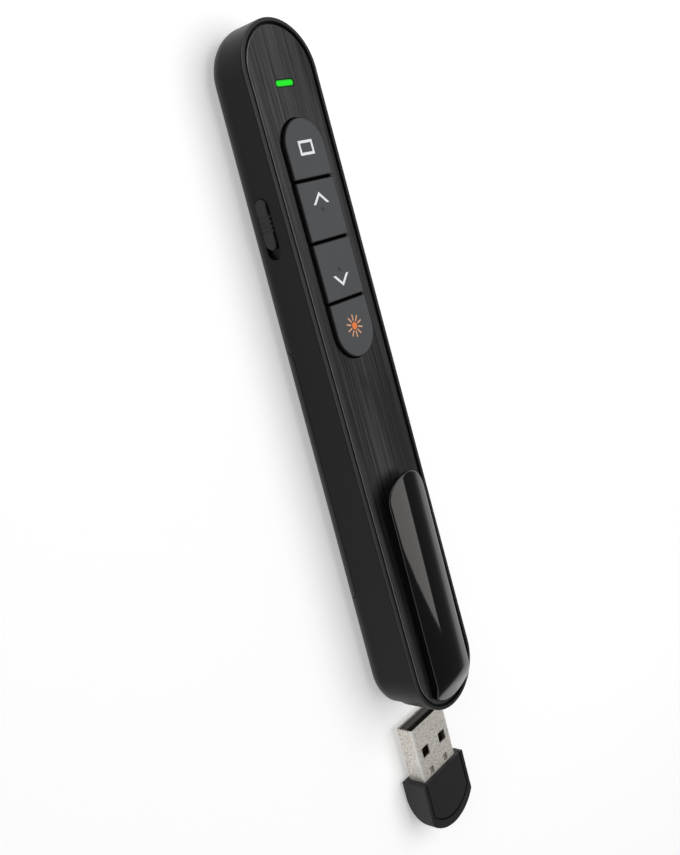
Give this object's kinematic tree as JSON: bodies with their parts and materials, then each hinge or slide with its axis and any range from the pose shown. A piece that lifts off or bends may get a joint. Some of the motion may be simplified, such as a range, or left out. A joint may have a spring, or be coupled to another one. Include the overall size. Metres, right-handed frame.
{
  "type": "wireless presentation clicker",
  "caption": "Slim hand-held slide remote with round ends: a key pad, side power slider, side volume rocker, pocket clip and a USB receiver that docks in the tail.",
  "frame": {"origin": "on the flat back of the casing, halfway along it and on its centre line", "axes": "+Z out of the back towards the keys, +Y towards the nose with the laser, +X to the right of the keys"},
  "size_m": [0.0209, 0.175, 0.0179],
  "materials": {
    "soft_touch_black": "soft-touch coating, fine grain, softly worn at the edges",
    "rim_charcoal": "moulded satin",
    "brushed_plate": "black anodised, brushed lengthwise, bevelled edge",
    "key_grey": "fine satin with printed marks",
    "control_black": "satin moulding",
    "piano_black": "polished high gloss",
    "indicator_green": "lit translucent lens",
    "receiver_black": "fine satin",
    "plug_nickel": "nickel plated, worn and speckled",
    "plug_tongue": "moulded insulator",
    "contact_gold": "gold flash",
    "board_green": "solder mask over laminate",
    "chip_black": "moulded package",
    "dome_rubber": "silicone",
    "steel": "nickel plated",
    "laser_brass": "turned",
    "laser_glass": "polished",
    "laser_trim": "satin ring",
    "laser_pane": "dark red filter pane",
    "cell_sleeve": "printed sleeve, no marks"
  },
  "bodies": {
    "casing": {"rear_shell": "soft_touch_black", "top_frame": "rim_charcoal", "face_plate": "brushed_plate", "indicator_lens": "indicator_green", "status_led": "indicator_green", "dome_mat": "dome_rubber", "main_board": "board_green", "controller_chip": "chip_black", "crystal": "steel", "chip_components": "chip_black", "power_switch_body": "chip_black", "volume_switches": "chip_black", "laser_barrel": "laser_brass", "laser_lens": "laser_glass", "laser_diode": "steel", "laser_bezel": "laser_trim", "laser_window": "laser_pane", "battery_cell": "cell_sleeve", "battery_terminal": "steel", "positive_contact": "steel", "negative_contact": "steel", "battery_spring": "steel", "clip_foot": "piano_black", "clip_screws": "steel", "board_screws": "steel", "housing_screws": "steel"},
    "laser_button": {"key_laser": "key_grey"},
    "page_down_button": {"key_page_down": "key_grey"},
    "page_up_button": {"key_page_up": "key_grey"},
    "screen_button": {"key_screen": "key_grey"},
    "power_switch": {"power_slider": "control_black", "power_switch_lever": "chip_black"},
    "rocker": {"volume_rocker": "control_black"},
    "cover": {"battery_cover": "soft_touch_black"},
    "clip": {"pocket_clip": "piano_black"},
    "receiver": {"receiver_cap": "receiver_black", "receiver_cap_panel": "receiver_black", "usb_shell": "plug_nickel", "usb_tongue": "plug_tongue", "usb_contacts": "contact_gold", "receiver_board": "board_green", "receiver_chip": "chip_black"}
  },
  "joints": [
    {"name": "laser_press", "type": "slide", "parent": "casing", "child": "laser_button", "axis": [0, -0.0257, -0.9997], "range_m": [0, 0.0004], "stiffness_N_per_m": 1500, "deforming": ["dome_mat"]},
    {"name": "page_down_press", "type": "slide", "parent": "casing", "child": "page_down_button", "axis": [0, -0.0257, -0.9997], "range_m": [0, 0.0004], "stiffness_N_per_m": 1500, "deforming": ["dome_mat"]},
    {"name": "page_up_press", "type": "slide", "parent": "casing", "child": "page_up_button", "axis": [0, -0.0257, -0.9997], "range_m": [0, 0.0004], "stiffness_N_per_m": 1500, "deforming": ["dome_mat"]},
    {"name": "screen_press", "type": "slide", "parent": "casing", "child": "screen_button", "axis": [0, -0.0257, -0.9997], "range_m": [0, 0.0004], "stiffness_N_per_m": 1500, "deforming": ["dome_mat"]},
    {"name": "power_slide", "type": "slide", "parent": "casing", "child": "power_switch", "axis": [0, -0.9997, 0.0257], "range_m": [0, 0.002]},
    {"name": "rocker_tilt", "type": "hinge", "parent": "casing", "child": "rocker", "pos_m": [0.0079, 0.03356, 0.00674], "axis": [0, 0.0257, 0.9997], "range_deg": [-2, 2], "stiffness_Nm_per_rad": 0.05},
    {"name": "cover_open", "type": "hinge", "parent": "casing", "child": "cover", "pos_m": [0, -0.0435, 0], "axis": [-1, 0, 0], "range_deg": [0, 75]},
    {"name": "clip_flex", "type": "hinge", "parent": "casing", "child": "clip", "pos_m": [0, -0.06988, 0.01445], "axis": [1, 0, 0], "range_deg": [0, 4], "stiffness_Nm_per_rad": 2},
    {"name": "receiver_slide", "type": "slide", "parent": "casing", "child": "receiver", "axis": [0, 1, 0], "range_m": [0, 0.031]}
  ]
}
